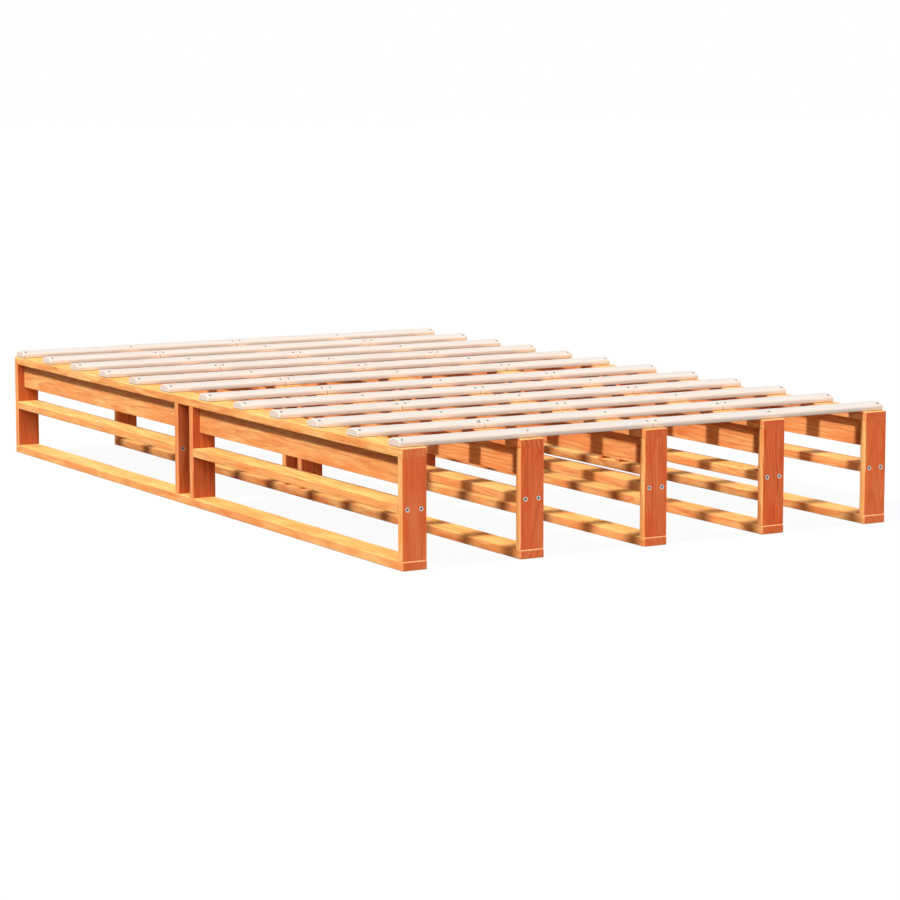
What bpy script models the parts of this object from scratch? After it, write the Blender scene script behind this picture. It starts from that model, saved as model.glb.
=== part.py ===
"""A low slatted bed base: ladder-like board frames run its length, with slats across them.

Metres, +Z up. The origin is on the floor under the middle of the bed.
+X is the right side and -Y the foot end.
"""

import math

import bmesh
import bpy

# Whole bed
BED_LENGTH = 2.000
BED_WIDTH = 1.200
CONTACT_GAP = 0.0003

# Frames, all cut from one board stock
FRAME_HEIGHT = 0.244
INNER_FRAME_COUNT = 3
INNER_FRAME_SPACING = 0.300
BOARD_WIDTH = 0.056
BOARD_THICKNESS = 0.019
BOARD_EDGE_EASE = 0.002
BOARD_EDGE_SEGMENTS = 1
BOARD_EDGE_PROFILE_SHARE = 0.5
MID_POST_GAP = 0.056
APRON_HEIGHT = 0.059
APRON_OVERLAP = 0.001

# Frame screws, through each post into the end of a shelf
FRAME_SCREW_SPACING = 0.031
FRAME_SCREW_HOLE_RADIUS = 0.0025
FRAME_SCREW_PILOT_DEPTH = 0.030

# Slats
ROWS_PER_HALF = 6
SLAT_WIDTH = 0.048
SLAT_HEIGHT = 0.0175
SLAT_SIDE_HEIGHT = 0.0105
SLAT_EDGE_EASE = 0.0015
SLAT_CROWN_SEGMENTS = 7
SLAT_END_SETBACK = 0.0115
SLAT_MIDDLE_GAP = 0.156
SLAT_SIDE_INSET = 0.001
SLAT_JOINT_GAP = 0.001

# Slat screws, sunk in the crown
SLAT_SCREW_SPACING = 0.032
SLAT_SCREW_END_DISTANCE = 0.0095
SLAT_SCREW_HEAD_RADIUS = 0.0036
SLAT_SCREW_SHANK_RADIUS = 0.0019

CUT_OVERRUN = 0.004
HOLE_SIDES = 6
SMOOTH_ANGLE = math.radians(35)

STAIN_COLOUR = (0.66, 0.22, 0.06)
STAIN_ROUGHNESS = 0.45
PALE_COLOUR = (0.83, 0.75, 0.68)
PALE_ROUGHNESS = 0.60

# Heights that the boards give each other
TOP_BOARD_UNDERSIDE = FRAME_HEIGHT - BOARD_THICKNESS
SHELF_MIDDLE = FRAME_HEIGHT / 2
POST_BOTTOM = BOARD_THICKNESS + CONTACT_GAP
POST_TOP = TOP_BOARD_UNDERSIDE - CONTACT_GAP

# One bay reaches from the inner face of an end post to that of a middle post
BAY_OUTER = BED_LENGTH / 2 - BOARD_THICKNESS
BAY_INNER = MID_POST_GAP / 2 + BOARD_THICKNESS
BAY_LENGTH = BAY_OUTER - BAY_INNER
BAY_MIDDLE = (BAY_OUTER + BAY_INNER) / 2


def clear_scene():
    for old in list(bpy.data.objects):
        bpy.data.objects.remove(old, do_unlink=True)


def wood(name, colour, roughness):
    made = bpy.data.materials.new(name)
    made.use_nodes = True
    shader = made.node_tree.nodes["Principled BSDF"]
    shader.inputs["Base Color"].default_value = (*colour, 1)
    shader.inputs["Roughness"].default_value = roughness
    shader.inputs["Metallic"].default_value = 0
    made.diffuse_color = (*colour, 1)
    return made


def empty(name, location):
    made = bpy.data.objects.new(name, None)
    made.location = location
    bpy.context.collection.objects.link(made)
    return made


def mesh_object(name, shape, location, parent, finish):
    """Turns a bmesh into a named object under its parent."""
    bmesh.ops.recalc_face_normals(shape, faces=shape.faces[:])
    mesh = bpy.data.meshes.new(name)
    shape.to_mesh(mesh)
    shape.free()
    made = bpy.data.objects.new(name, mesh)
    made.location = location
    made.parent = parent
    if finish:
        mesh.materials.append(finish)
    bpy.context.collection.objects.link(made)
    return made


def add_box(shape, size, centre=(0, 0, 0)):
    """Adds a closed box to a bmesh."""
    corners = bmesh.ops.create_cube(shape, size=1)["verts"]
    bmesh.ops.scale(shape, vec=size, verts=corners)
    bmesh.ops.translate(shape, vec=centre, verts=corners)


def ease_edges(shape):
    """Takes the sharpness off every edge of a board."""
    bmesh.ops.bevel(
        shape,
        geom=shape.edges[:],
        offset=BOARD_EDGE_EASE,
        offset_type="OFFSET",
        segments=BOARD_EDGE_SEGMENTS,
        profile=BOARD_EDGE_PROFILE_SHARE,
        affect="EDGES",
        clamp_overlap=True,
    )


def eased_box(size, centre=(0, 0, 0)):
    shape = bmesh.new()
    add_box(shape, size, centre)
    ease_edges(shape)
    return shape


def add_lathe(shape, profile, place, axis):
    """Adds a closed turned body. Its profile is a run of (radius, distance along the axis)."""
    rings = []
    for radius, along in profile:
        ring = []
        for side in range(HOLE_SIDES):
            turn = math.pi * (2 * side + 1) / HOLE_SIDES
            across = (radius * math.cos(turn), radius * math.sin(turn))
            local = (across[0], along, across[1]) if axis == "Y" else (*across, along)
            ring.append(shape.verts.new([start + step for start, step in zip(place, local)]))
        rings.append(ring)
    for lower, upper in zip(rings, rings[1:]):
        for side in range(HOLE_SIDES):
            after = (side + 1) % HOLE_SIDES
            shape.faces.new((lower[side], lower[after], upper[after], upper[side]))
    shape.faces.new(rings[0])
    shape.faces.new(rings[-1])


def cut(target, shape):
    """Cuts a bmesh of closed bodies out of an object with an exact Boolean."""
    cutter = mesh_object(target.name + "_holes", shape, target.location, target.parent, None)
    cutter.hide_render = True
    cutter.display_type = "WIRE"
    boolean = target.modifiers.new("screw_holes", "BOOLEAN")
    boolean.operation = "DIFFERENCE"
    boolean.solver = "EXACT"
    boolean.object = cutter


def add_frame_screw_holes(shape, start, end):
    """A pair of holes along Y at shelf height, side by side across the board."""
    for side in (-1, 1):
        profile = ((FRAME_SCREW_HOLE_RADIUS, start), (FRAME_SCREW_HOLE_RADIUS, end))
        add_lathe(shape, profile, (side * FRAME_SCREW_SPACING / 2, 0, 0), "Y")


def make_bottom_board(name, parent, finish):
    size = (BOARD_WIDTH, BED_LENGTH, BOARD_THICKNESS)
    mesh_object(name, eased_box(size), (0, 0, BOARD_THICKNESS / 2), parent, finish)


def make_top_rail(name, parent, finish):
    """The top board with an apron on edge under each bay, glued up as one T-shaped rail."""
    board = mesh_object(
        name,
        eased_box((BOARD_WIDTH, BED_LENGTH, BOARD_THICKNESS)),
        (0, 0, FRAME_HEIGHT - BOARD_THICKNESS / 2),
        parent,
        finish,
    )
    size = (BOARD_THICKNESS, BAY_LENGTH - 2 * CONTACT_GAP, APRON_HEIGHT + APRON_OVERLAP)
    below_board = -(BOARD_THICKNESS + size[2]) / 2 + APRON_OVERLAP
    for end, word in ((-1, "foot"), (1, "head")):
        apron = mesh_object(
            f"{name}_{word}_apron",
            eased_box(size, (0, end * BAY_MIDDLE, below_board)),
            board.location,
            parent,
            None,
        )
        apron.hide_render = True
        apron.display_type = "WIRE"
        glue = board.modifiers.new("glued_apron", "BOOLEAN")
        glue.operation = "UNION"
        glue.solver = "EXACT"
        glue.object = apron


def make_post(name, parent, middle_y, finish):
    size = (BOARD_WIDTH, BOARD_THICKNESS, POST_TOP - POST_BOTTOM)
    place = (0, middle_y, (POST_TOP + POST_BOTTOM) / 2)
    post = mesh_object(name, eased_box(size), place, parent, finish)
    holes = bmesh.new()
    reach = BOARD_THICKNESS / 2 + CUT_OVERRUN
    add_frame_screw_holes(holes, -reach, reach)
    bmesh.ops.translate(holes, vec=(0, 0, SHELF_MIDDLE - place[2]), verts=holes.verts[:])
    cut(post, holes)


def make_shelf(name, parent, middle_y, finish):
    length = BAY_LENGTH - 2 * CONTACT_GAP
    size = (BOARD_WIDTH, length, BOARD_THICKNESS)
    shelf = mesh_object(name, eased_box(size), (0, middle_y, SHELF_MIDDLE), parent, finish)
    holes = bmesh.new()
    for end in (-1, 1):
        inside = end * (length / 2 - FRAME_SCREW_PILOT_DEPTH)
        outside = end * (length / 2 + CUT_OVERRUN)
        add_frame_screw_holes(holes, inside, outside)
    cut(shelf, holes)


def make_frame(number, middle_x, finish):
    """One ladder frame: two long boards, with posts, shelves and aprons between them."""
    name = f"frame_{number}"
    parent = empty(name, (middle_x, 0, 0))
    make_bottom_board(name + "_bottom_board", parent, finish)
    make_top_rail(name + "_top_rail", parent, finish)
    for end, word in ((-1, "foot"), (1, "head")):
        make_post(f"{name}_{word}_post", parent, end * (BAY_OUTER + BOARD_THICKNESS / 2), finish)
        make_post(f"{name}_{word}_mid_post", parent, end * (BAY_INNER - BOARD_THICKNESS / 2), finish)
        make_shelf(f"{name}_{word}_shelf", parent, end * BAY_MIDDLE, finish)


def frame_centres():
    """The outer frames are flush with the bed's sides. The inner ones stand evenly about its middle."""
    outer = (BED_WIDTH - BOARD_WIDTH) / 2
    first = -INNER_FRAME_SPACING * (INNER_FRAME_COUNT - 1) / 2
    inner = [first + INNER_FRAME_SPACING * place for place in range(INNER_FRAME_COUNT)]
    return [-outer, *inner, outer]


def row_centres():
    """Slat rows from foot to head, in two even groups that mirror each other."""
    outermost = BED_LENGTH / 2 - SLAT_END_SETBACK - SLAT_WIDTH / 2
    innermost = (SLAT_MIDDLE_GAP + SLAT_WIDTH) / 2
    pitch = (outermost - innermost) / (ROWS_PER_HALF - 1)
    half = [innermost + pitch * step for step in range(ROWS_PER_HALF)]
    return [-place for place in reversed(half)] + half


def crown_radius():
    rise = SLAT_HEIGHT - SLAT_SIDE_HEIGHT
    return ((SLAT_WIDTH / 2) ** 2 + rise**2) / (2 * rise)


def crown_height(across):
    """Height of the slat's rounded top above its underside, at a distance from its centre line."""
    radius = crown_radius()
    return SLAT_HEIGHT - radius + math.sqrt(radius**2 - across**2)


def slat_section(ease):
    """The slat's outline across its length, as (y, z), drawn in by ease on every side."""
    half = SLAT_WIDTH / 2 - ease
    outline = [(half - SLAT_EDGE_EASE, ease), (half, ease + SLAT_EDGE_EASE)]
    for step in range(SLAT_CROWN_SEGMENTS + 1):
        across = half - 2 * half * step / SLAT_CROWN_SEGMENTS
        outline.append((across, crown_height(across) - ease))
    outline += [(-half, ease + SLAT_EDGE_EASE), (SLAT_EDGE_EASE - half, ease)]
    return outline


def slat_shape(pieces):
    """Slat pieces end to end. Where two meet, their eased ends leave a groove, bridged at its bottom."""
    stations = []
    for start, end in pieces:
        stations += [(start, SLAT_EDGE_EASE), (start + SLAT_EDGE_EASE, 0)]
        stations += [(end - SLAT_EDGE_EASE, 0), (end, SLAT_EDGE_EASE)]
    shape = bmesh.new()
    rings = [[shape.verts.new((x, y, z)) for y, z in slat_section(ease)] for x, ease in stations]
    points = len(rings[0])
    for near, far in zip(rings, rings[1:]):
        for point in range(points):
            after = (point + 1) % points
            shape.faces.new((near[point], near[after], far[after], far[point]))
    shape.faces.new(rings[0])
    shape.faces.new(rings[-1])
    return shape


def screw_places(start, end, frames):
    """Where screws go along a slat piece: near its ends, and amid each frame that it crosses."""
    places = []
    for frame in frames:
        if abs(start - frame) < BOARD_WIDTH / 2:
            places.append(start + SLAT_SCREW_END_DISTANCE)
        elif abs(end - frame) < BOARD_WIDTH / 2:
            places.append(end - SLAT_SCREW_END_DISTANCE)
        elif start < frame < end:
            places.append(frame)
    return places


def slat_screw_holes(pieces, frames):
    shape = bmesh.new()
    across = SLAT_SCREW_SPACING / 2
    sunk = SLAT_SCREW_HEAD_RADIUS - SLAT_SCREW_SHANK_RADIUS
    seat = crown_height(across) - sunk
    profile = (
        (SLAT_SCREW_SHANK_RADIUS, -CUT_OVERRUN),
        (SLAT_SCREW_SHANK_RADIUS, seat),
        (SLAT_SCREW_HEAD_RADIUS + CUT_OVERRUN, seat + sunk + CUT_OVERRUN),
    )
    for start, end in pieces:
        for along in screw_places(start, end, frames):
            for side in (-1, 1):
                add_lathe(shape, profile, (along, side * across, 0), "Z")
    return shape


def make_slat(name, parent, row_y, pieces, frames, finish):
    place = (0, row_y, FRAME_HEIGHT + CONTACT_GAP)
    slat = mesh_object(name, slat_shape(pieces), place, parent, finish)
    slat.data.shade_smooth()
    slat.data.set_sharp_from_angle(angle=SMOOTH_ANGLE)
    cut(slat, slat_screw_holes(pieces, frames))


def split_row(joints):
    """The pieces of one row, from the left side of the bed to the right, parted at the joints."""
    side = BED_WIDTH / 2 - SLAT_SIDE_INSET
    half_gap = SLAT_JOINT_GAP / 2
    starts = [-side] + [joint + half_gap for joint in joints]
    ends = [joint - half_gap for joint in joints] + [side]
    return list(zip(starts, ends))


def make_slats(frames, finish):
    """Rows are jointed by turns over the middle frame and over its two neighbours, alike from both ends."""
    parent = empty("slat_platform", (0, 0, 0))
    middle = len(frames) // 2
    for index, row_y in enumerate(row_centres()):
        name = f"slat_row_{index + 1:02d}"
        from_end = min(index, 2 * ROWS_PER_HALF - 1 - index)
        if from_end % 2 == 0:
            left, right = split_row([frames[middle]])
            make_slat(name + "_left", parent, row_y, [left], frames, finish)
            make_slat(name + "_right", parent, row_y, [right], frames, finish)
        else:
            pieces = split_row([frames[middle - 1], frames[middle + 1]])
            make_slat(name, parent, row_y, pieces, frames, finish)


def main():
    clear_scene()
    stained = wood("stained_pine", STAIN_COLOUR, STAIN_ROUGHNESS)
    pale = wood("pale_slat_wood", PALE_COLOUR, PALE_ROUGHNESS)
    frames = frame_centres()
    for number, middle_x in enumerate(frames, 1):
        make_frame(number, middle_x, stained)
    make_slats(frames, pale)
    bpy.context.view_layer.update()


main()
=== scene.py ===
import math
import random

import bmesh
import bpy
from mathutils import Matrix, Vector, noise


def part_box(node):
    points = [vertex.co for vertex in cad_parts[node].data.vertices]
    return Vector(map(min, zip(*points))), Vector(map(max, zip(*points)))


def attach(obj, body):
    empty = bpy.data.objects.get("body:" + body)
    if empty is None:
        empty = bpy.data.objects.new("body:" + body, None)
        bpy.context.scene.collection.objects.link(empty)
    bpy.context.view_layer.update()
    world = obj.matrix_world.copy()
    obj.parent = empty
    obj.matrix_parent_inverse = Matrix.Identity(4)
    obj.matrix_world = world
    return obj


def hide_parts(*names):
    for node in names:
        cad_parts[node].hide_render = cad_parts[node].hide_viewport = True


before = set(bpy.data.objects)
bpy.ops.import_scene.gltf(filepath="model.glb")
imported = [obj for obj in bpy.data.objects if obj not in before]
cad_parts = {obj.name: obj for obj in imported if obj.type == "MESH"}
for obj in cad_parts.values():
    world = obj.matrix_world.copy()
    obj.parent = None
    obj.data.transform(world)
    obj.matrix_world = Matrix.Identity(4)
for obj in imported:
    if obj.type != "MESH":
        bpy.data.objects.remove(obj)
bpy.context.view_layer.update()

# Metres unless a name says otherwise. Sizes that the frame holds are read from it further down.

# Boards. A station is a place along a piece where its outline is drawn.
ARRIS_RADIUS = 0.0019
LEAST_ARRIS_RADIUS = ARRIS_RADIUS / 4
ARRIS_STEPS = 3
ARRIS_WEAR_SHARE = 0.35
ARRIS_WEAR_PITCH = 0.07
WEAR_SEED_LIMIT = 100
WEAR_SEED_STEP = 5
BOARD_STATION_PITCH = 0.025
BOARD_END_EASE = 0.0022
BUTT_END_EASE = 0.0003
END_EASE_STEPS = 3
POST_SETBACK = 0.0012

# Slats
SLAT_SIDE_HEIGHT = 0.0105
SLAT_SHOULDER_RADIUS = 0.0075
SLAT_FOOT_RADIUS = 0.0028
SLAT_JOINT_GAP = 0.0016
SLAT_END_EASE = 0.0024
SLAT_JOINT_EASE = 0.0009
SLAT_STATION_PITCH = 0.05
SHOULDER_STEPS = 7
CROWN_STEPS = 14
FOOT_STEPS = 3

# Slat screws
SLAT_SCREW_SPACING = 0.032
SLAT_SCREW_END_DISTANCE = 0.0095
SLAT_SCREW_HEAD_RADIUS = 0.0029
SLAT_SCREW_SHANK_RADIUS = 0.0015
SLAT_SCREW_LENGTH = 0.030
SLAT_SCREW_SINK = 0.0005
CROSS_ARM_LENGTH = 0.0032
CROSS_ARM_WIDTH = 0.0008
CROSS_DEPTH = 0.0012
CROSS_BOTTOM_SHARE = 0.4

# Frame screws
FRAME_SCREW_SPACING = 0.031
FRAME_SCREW_HEAD_RADIUS = 0.0050
FRAME_SCREW_SHANK_RADIUS = 0.0024
FRAME_SCREW_LENGTH = 0.047
FRAME_SCREW_SINK = 0.0004
SOCKET_RADIUS = 0.0023
SOCKET_DEPTH = 0.0026
SOCKET_SIDES = 6

# All screws and their holes
HEAD_RIM_SHARE = 1 / 8
POINT_LENGTH_IN_RADII = 2
POINT_TAPER = 6
HOLE_PLAY = 0.0002
HEAD_PLAY = 0.0006
DRILL_OVERRUN = 0.003
HOLE_SIDES = 20
SCREW_SIDES = 24
RECESS_MARK_DEPTH = 0.0001

# Shading. Edges turned past the sharp angle stay sharp. A normal this near an axis is a flat face's.
SHARP_ANGLE = math.radians(38)
FLAT_NORMAL = 0.985

# Least values that something is divided by
NEARLY_NONE = 0.0001
LEAST_KNOT_RADIUS = 0.00001

# How far rounded edges are lightened, partly as wear and mostly as a painted highlight on edges that face up,
# and how far one turns before it counts as facing down or endwards
END_WEAR_AND_HIGHLIGHT = 0.7
LONG_WEAR_AND_HIGHLIGHT = 0.12
UNDER_WEAR_AND_HIGHLIGHT = 0.0
ARRIS_TURN = 0.15

# Wood. A log has a ring of knots each so far along. A piece is cut beside its pith, at a slight slant.
WHORL_PITCH = 0.62
PITH_DISTANCE_RANGE = (0.022, 0.060)
PITH_SIDEWAYS_RANGE = (-0.030, 0.030)
QUARTER_SAWN_SIDEWAYS = 1.5
QUARTER_SAWN_DEPTH = 0.2
SLANT_LIMIT = 0.02
KNOTTY_SHARE = 0.3
SLAT_KNOTTY_SHARE = 0.12
KNOT_TURN_SPREAD = 0.5
KNOT_CLEARANCE = 0.03
KNOT_REACH = 0.016
KNOT_SWELL = 0.009
KNOT_SQUASH = 0.75
RING_BEND = 0.044

# How strongly the growth rings show in a piece, and how far it takes its tint, from -1 to 1. The tint is
# partly the piece's own tone and partly painted shade, deeper on most pieces of the frames behind the first.
# Some first words of a piece's name have a range of their own.
FIGURE_RANGE = (0.6, 1.0)
SHADE_RANGE = (0.5, 1.0)
SHADE_RANGES = {"slat": (-1.0, 1.0), "apron": (0.8, 1.0), "bottom": (-0.2, 0.4)}

# Pieces whose cut the photo shows, as cut_from_log gives them
STRAIGHT_DOWN = -math.pi / 2
CHOSEN_CUTS = {
    "post_1_foot": (0.31, 0.006, 0.052, 0.0, 0.0, 0.0),
    "post_2_foot": (0.0928, 0.0188, 0.058, 0.0, STRAIGHT_DOWN, 0.55),
    "post_3_foot": (0.28, -0.050, 0.016, 0.0, 0.0, 0.0),
    "post_4_foot": (0.30, -0.045, 0.006, 0.0, 0.0, 0.0),
    "post_5_foot": (0.30, -0.004, 0.040, 0.07, 0.0, 0.0),
}

# How strongly the growth rings show in a piece, where the photo shows it
CHOSEN_FIGURES = {
    "post_1_foot": 0.5,
    "post_2_foot": 0.6,
    "post_3_foot": 0.7,
    "post_4_foot": 1.0,
    "post_5_foot": 0.55,
    "top_board_2": 1.3,
    "bottom_board_2": 1.0,
    "apron_1_foot": 0.8,
    "apron_1_head": 0.8,
}

# How close the growth rings lie, where the photo shows them coarser than elsewhere
CHOSEN_CLOSENESS = {
    "top_board_2": 0.5,
    "top_board_3": 0.6,
    "bottom_board_1": 0.6,
    "bottom_board_2": 0.6,
    "bottom_board_3": 0.6,
}

# How far a piece takes its tint, from -1 to 1, where the photo shows it
CHOSEN_SHADES = {
    "post_1_foot": -0.8,
    "post_2_foot": -0.2,
    "post_3_foot": -0.8,
    "post_4_foot": -0.7,
    "post_5_foot": -0.9,
    # The deep tints of these inner posts are painted shade
    "mid_post_1_foot": 0.9,
    "mid_post_1_head": 0.6,
    "post_1_head": 0.6,
    "apron_1_foot": 0.2,
    "apron_1_head": -0.1,
    "top_board_1": -1.0,
    "bottom_board_1": 0.3,
    "shelf_1_foot": -0.8,
    "shelf_1_head": -0.9,
}

# Camera: a level bed seen from the foot end's left corner. A pinhole of 2924 pixels in a 900-pixel frame.
FRAME_PIXELS = 900
FOCAL_PIXELS = 2923.8
SENSOR_MM = 36.0
CAMERA_PLACE = (-3.378, -5.9215, 1.0177)
CAMERA_YAW = math.radians(30.387)
CAMERA_PITCH = math.radians(7.821)

# Light: a key lamp square on to the left side, 49 degrees up, a broad, low, warm lamp from the foot end, an
# even dim room, and two low lamps for the sides that the first view does not show
KEY_DIRECTION = (0.652, 0.026, -0.758)
KEY_STRENGTH = 4.2
KEY_ANGLE = math.radians(8)
KEY_COLOUR = (1.0, 0.99, 0.97)
FOOT_DIRECTION = (0.30, 0.90, -0.32)
FOOT_STRENGTH = 2.2
FOOT_COLOUR = (1.0, 0.87, 0.78)
FOOT_ANGLE = math.radians(32)
FAR_STRENGTH = 2.0
FAR_ANGLE = math.radians(12)
FAR_DIRECTIONS = ((-0.10, -0.99, -0.11), (-0.99, 0.02, -0.11))
ROOM_STRENGTH = 0.05
ROOM_COLOUR = (1.0, 0.74, 0.56)
FLOOR_SIZE = 60.0
FLOOR_DROP = 0.0004
FLOOR_COLOUR = (0.92, 0.92, 0.92, 1)
FLOOR_BOUNCE_COLOUR = (0.12, 0.10, 0.085, 1)
FLOOR_WHITE_SHARE = 0.95
WHITE = (1, 1, 1, 1)

# Which way a board lies: the columns are the directions of its length, width and thickness
LYING = Matrix(((0, -1, 0), (1, 0, 0), (0, 0, 1)))
STANDING = Matrix(((0, 1, 0), (0, 0, 1), (1, 0, 0)))
ON_EDGE = Matrix(((0, 0, 1), (1, 0, 0), (0, 1, 0)))
ACROSS = Matrix.Identity(3)

# Corners of an outline, as (right, up), anticlockwise from the upper right
CORNERS = ((1, 1), (-1, 1), (-1, -1), (1, -1))


# Sizes that the frame holds


def box_middle(node):
    low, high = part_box(node)
    return (low + high) / 2


FRAMES = (1, 2, 3, 4, 5)
ENDS = ((-1, "foot"), (1, "head"))
FRAME_CENTRES = [box_middle(f"frame_{number}_bottom_board").x for number in FRAMES]
SHELF_HEIGHT = box_middle("frame_1_foot_shelf").z

BOARD_LOW, BOARD_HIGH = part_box("frame_1_bottom_board")
BOARD_WIDTH = BOARD_HIGH.x - BOARD_LOW.x
BOARD_THICKNESS = BOARD_HIGH.z - BOARD_LOW.z

SLAT_LOW, SLAT_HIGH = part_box("slat_row_02")
SLAT_WIDTH = SLAT_HIGH.y - SLAT_LOW.y
SLAT_HEIGHT = SLAT_HIGH.z - SLAT_LOW.z
CROWN_RISE = SLAT_HEIGHT - SLAT_SIDE_HEIGHT
CROWN_RADIUS = ((SLAT_WIDTH / 2) ** 2 + CROWN_RISE**2) / (2 * CROWN_RISE)


# Mesh building


def noise_at(x, y, z):
    return noise.noise(Vector((x, y, z)))


def arc(centre, radius, start, end, steps):
    """Points of an arc, both ends included."""
    turns = [start + (end - start) * step / steps for step in range(steps + 1)]
    return [(centre[0] + radius * math.cos(t), centre[1] + radius * math.sin(t)) for t in turns]


def stations(length, ease, ease_steps, pitch):
    """Places along a piece, as (distance from its middle, how far the outline is drawn in)."""
    near = []
    for step in range(ease_steps + 1):
        turn = math.pi / 2 * (1 - step / ease_steps)
        near.append((ease * (1 - math.sin(turn)) - length / 2, ease * (1 - math.cos(turn))))
    straight = length - 2 * ease
    count = max(1, round(straight / pitch))
    middle = [(straight * (step / count - 1 / 2), 0) for step in range(1, count)]
    return near + middle + [(-x, inset) for x, inset in reversed(near)]


def loft(rings):
    """A closed bmesh through rings of points, with a flat cap on each end."""
    shape = bmesh.new()
    made = [[shape.verts.new(point) for point in ring] for ring in rings]
    points = len(made[0])
    for near, far in zip(made, made[1:]):
        for point in range(points):
            after = (point + 1) % points
            shape.faces.new((near[point], near[after], far[after], far[point]))
    shape.faces.new(made[0])
    shape.faces.new(made[-1])
    bmesh.ops.recalc_face_normals(shape, faces=shape.faces[:])
    return shape


def add_turned(shape, profile, sides, place=(0, 0, 0), turn=Matrix.Identity(3)):
    """Adds a closed turned body to a bmesh. Its profile is a run of (radius, distance along its own Z)."""
    rings = []
    for radius, along in profile:
        ring = []
        for side in range(sides):
            angle = 2 * math.pi * side / sides
            point = Vector((radius * math.cos(angle), radius * math.sin(angle), along))
            ring.append(shape.verts.new(turn @ point + Vector(place)))
        rings.append(ring)
    added = []
    for lower, upper in zip(rings, rings[1:]):
        for side in range(sides):
            after = (side + 1) % sides
            added.append(shape.faces.new((lower[side], lower[after], upper[after], upper[side])))
    added.append(shape.faces.new(rings[0]))
    added.append(shape.faces.new(rings[-1]))
    bmesh.ops.recalc_face_normals(shape, faces=added)


def new_object(name, shape):
    """Turns a bmesh into an object of the scene, and frees it."""
    mesh = bpy.data.meshes.new(name)
    shape.to_mesh(mesh)
    shape.free()
    made = bpy.data.objects.new(name, mesh)
    bpy.context.scene.collection.objects.link(made)
    return made


def cut(piece, shape):
    """Cuts closed bodies out of a piece and keeps the result as its mesh."""
    cutter = new_object(piece.name + "_cutter", shape)
    boolean = piece.modifiers.new("cut", "BOOLEAN")
    boolean.operation = "DIFFERENCE"
    boolean.solver = "EXACT"
    boolean.object = cutter
    bpy.context.view_layer.update()
    shown = piece.evaluated_get(bpy.context.evaluated_depsgraph_get())
    mesh = bpy.data.meshes.new_from_object(shown)
    plain = piece.data
    piece.modifiers.clear()
    piece.data = mesh
    mesh.name = plain.name
    bpy.data.meshes.remove(plain)
    spent = cutter.data
    bpy.data.objects.remove(cutter)
    bpy.data.meshes.remove(spent)


def shade(mesh):
    mesh.shade_smooth()
    mesh.set_sharp_from_angle(angle=SHARP_ANGLE)


def weigh_normals(piece):
    """Lets the wide flat faces rule the shading, so that only the rounded edges catch a gradient."""
    weighted = piece.modifiers.new("shading", "WEIGHTED_NORMAL")
    weighted.keep_sharp = True


# Marks that the wood materials read


def cut_from_log(name, length, rng):
    """How a piece is cut: how far from its middle a ring of knots lies, how far to the side and how deep the
    pith lies, its slant, which way a knot grows out, and how big the knot is beside a full one."""
    if name in CHOSEN_CUTS:
        return CHOSEN_CUTS[name]
    sideways = rng.uniform(*PITH_SIDEWAYS_RANGE)
    depth = rng.uniform(*PITH_DISTANCE_RANGE) * rng.choice((-1, 1))
    if name.startswith(("bottom_board", "top_board")):
        sideways, depth = depth * QUARTER_SAWN_SIDEWAYS, sideways * QUARTER_SAWN_DEPTH
    slant = rng.uniform(-SLANT_LIMIT, SLANT_LIMIT)
    turn = math.atan2(-depth, -sideways) + rng.uniform(-KNOT_TURN_SPREAD, KNOT_TURN_SPREAD)
    knotty = rng.random() < (SLAT_KNOTTY_SHARE if name.startswith("slat") else KNOTTY_SHARE)
    clear = min(length / 2 + KNOT_CLEARANCE, WHORL_PITCH / 2)
    along = rng.uniform(-WHORL_PITCH / 2, WHORL_PITCH / 2)
    if length < WHORL_PITCH and not knotty:
        along = rng.uniform(clear, WHORL_PITCH - clear)
    return along, sideways, depth, slant, turn, float(knotty)


def mark_grain(piece, cut_here):
    """Writes each point's place in the log, with X along the pith."""
    along, sideways, depth, slant = cut_here
    lean = Matrix.Rotation(slant, 3, "Y")
    pith = Vector((along, sideways, depth))
    closeness = CHOSEN_CLOSENESS.get(piece.name, 1.0)
    grown = Matrix.Diagonal((1, closeness, closeness))
    places = [grown @ (lean @ vertex.co) - pith for vertex in piece.data.vertices]
    grain = piece.data.attributes.new("grain", "FLOAT_VECTOR", "POINT")
    grain.data.foreach_set("vector", [value for place in places for value in place])


def wear_and_highlight_of(normal, axes):
    """How far a rounded edge is lightened, partly as wear and mostly as a painted highlight: most where a
    lying board's end turns up to the light, and not at all where an edge faces down or a standing board ends
    against another."""
    if max(map(abs, normal)) >= FLAT_NORMAL:
        return 0.0
    upward = (axes @ normal).z
    at_end = abs(normal.x) > ARRIS_TURN
    if upward < -ARRIS_TURN or (at_end and axes == STANDING):
        return UNDER_WEAR_AND_HIGHLIGHT
    return END_WEAR_AND_HIGHLIGHT if at_end and upward > ARRIS_TURN else LONG_WEAR_AND_HIGHLIGHT


def is_inner_post(name):
    """Whether a piece is a post, but not one of the outermost five at the foot end."""
    outermost = name.startswith("post") and name.endswith("foot")
    return "post" in name and not outermost


def shade_range(name):
    return SHADE_RANGES.get(name.split("_")[0], SHADE_RANGE)


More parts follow.
